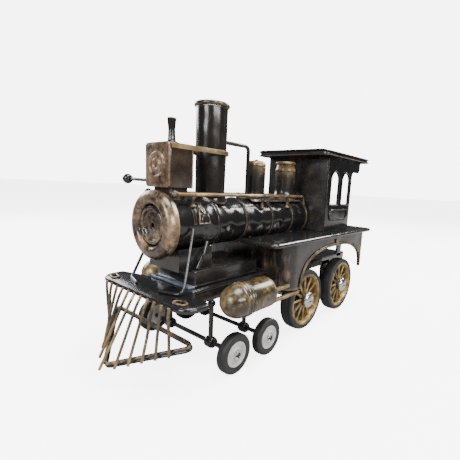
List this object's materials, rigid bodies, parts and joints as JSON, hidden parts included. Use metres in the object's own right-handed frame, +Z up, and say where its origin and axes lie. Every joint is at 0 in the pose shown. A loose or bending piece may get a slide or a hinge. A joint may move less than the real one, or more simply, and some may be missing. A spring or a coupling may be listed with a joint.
{
  "type": "toy steam locomotive",
  "caption": "Toy steam locomotive of sheet metal and wire with a pilot, headlamp, tall stack, boiler, cab and free-rolling rubber-tyred wheels.",
  "frame": {"origin": "on the ground, at the middle of the length and width of the bounding box", "axes": "+X forward to the pilot, +Y the locomotive's left side, +Z up"},
  "size_m": [0.2568, 0.1016, 0.1594],
  "materials": {
    "black_enamel": "glossy black enamel, dry-brushed",
    "gilt_wire": "dull gold paint rubbed over black",
    "copper_rubbed": "copper and gold rubbed over black",
    "old_brass": "antique brass paint, worn",
    "steel": "plated",
    "rubber": "matt",
    "grey_hub": "satin grey",
    "gilt_wheel": "gold paint over black"
  },
  "bodies": {
    "locomotive": {"pilot_frame": "gilt_wire", "pilot_bars": "gilt_wire", "front_deck": "black_enamel", "deck_eyelets": "gilt_wire", "brace_rods": "black_enamel", "smokebox_rim": "copper_rubbed", "smokebox_door": "copper_rubbed", "smokebox_drum": "black_enamel", "boiler_barrel": "black_enamel", "boiler_bands": "gilt_wire", "handrails": "gilt_wire", "side_badges": "copper_rubbed", "headlamp_box": "copper_rubbed", "headlamp_front": "copper_rubbed", "headlamp_chimney": "copper_rubbed", "headlamp_strap": "gilt_wire", "marker_rod": "gilt_wire", "stack_tube": "copper_rubbed", "stack_rim": "copper_rubbed", "stack_base": "copper_rubbed", "bent_pipe": "black_enamel", "dome_plate": "copper_rubbed", "sand_dome": "old_brass", "steam_dome": "old_brass", "dome_caps": "old_brass", "saddle_block": "black_enamel", "saddle_collar": "black_enamel", "steam_pipes": "copper_rubbed", "cylinders": "old_brass", "cylinder_caps": "old_brass", "guide_bars": "gilt_wire", "main_frame": "black_enamel", "truck_posts": "black_enamel", "truck_axles": "black_enamel", "fender_housing": "copper_rubbed", "arch_trims": "gilt_wire", "footplate": "black_enamel", "cab_front": "black_enamel", "cab_sides": "black_enamel", "window_frames": "black_enamel", "roof": "black_enamel", "driver_axles": "steel", "axle_screws": "steel", "axle_clips": "steel"},
    "driver_front_left": {"driver_front_left_tyre": "rubber", "driver_front_left_wheel": "gilt_wheel"},
    "driver_front_right": {"driver_front_right_tyre": "rubber", "driver_front_right_wheel": "gilt_wheel"},
    "driver_rear_left": {"driver_rear_left_tyre": "rubber", "driver_rear_left_wheel": "gilt_wheel"},
    "driver_rear_right": {"driver_rear_right_tyre": "rubber", "driver_rear_right_wheel": "gilt_wheel"},
    "truck_front_left": {"truck_front_left_tyre": "rubber", "truck_front_left_hub": "grey_hub"},
    "truck_front_right": {"truck_front_right_tyre": "rubber", "truck_front_right_hub": "grey_hub"},
    "truck_rear_left": {"truck_rear_left_tyre": "rubber", "truck_rear_left_hub": "grey_hub"},
    "truck_rear_right": {"truck_rear_right_tyre": "rubber", "truck_rear_right_hub": "grey_hub"}
  },
  "joints": [
    {"name": "driver_front_left_spin", "type": "hinge", "parent": "locomotive", "child": "driver_front_left", "pos_m": [-0.017, 0.0345, 0.024], "axis": [0, 1, 0], "continuous": true},
    {"name": "driver_front_right_spin", "type": "hinge", "parent": "locomotive", "child": "driver_front_right", "pos_m": [-0.017, -0.0345, 0.024], "axis": [0, 1, 0], "continuous": true},
    {"name": "driver_rear_left_spin", "type": "hinge", "parent": "locomotive", "child": "driver_rear_left", "pos_m": [-0.078, 0.0345, 0.024], "axis": [0, 1, 0], "continuous": true},
    {"name": "driver_rear_right_spin", "type": "hinge", "parent": "locomotive", "child": "driver_rear_right", "pos_m": [-0.078, -0.0345, 0.024], "axis": [0, 1, 0], "continuous": true},
    {"name": "truck_front_left_spin", "type": "hinge", "parent": "locomotive", "child": "truck_front_left", "pos_m": [0.0675, 0.0405, 0.0122], "axis": [0, 1, 0], "continuous": true},
    {"name": "truck_front_right_spin", "type": "hinge", "parent": "locomotive", "child": "truck_front_right", "pos_m": [0.0675, -0.0405, 0.0122], "axis": [0, 1, 0], "continuous": true},
    {"name": "truck_rear_left_spin", "type": "hinge", "parent": "locomotive", "child": "truck_rear_left", "pos_m": [0.0362, 0.0405, 0.0122], "axis": [0, 1, 0], "continuous": true},
    {"name": "truck_rear_right_spin", "type": "hinge", "parent": "locomotive", "child": "truck_rear_right", "pos_m": [0.0362, -0.0405, 0.0122], "axis": [0, 1, 0], "continuous": true}
  ]
}
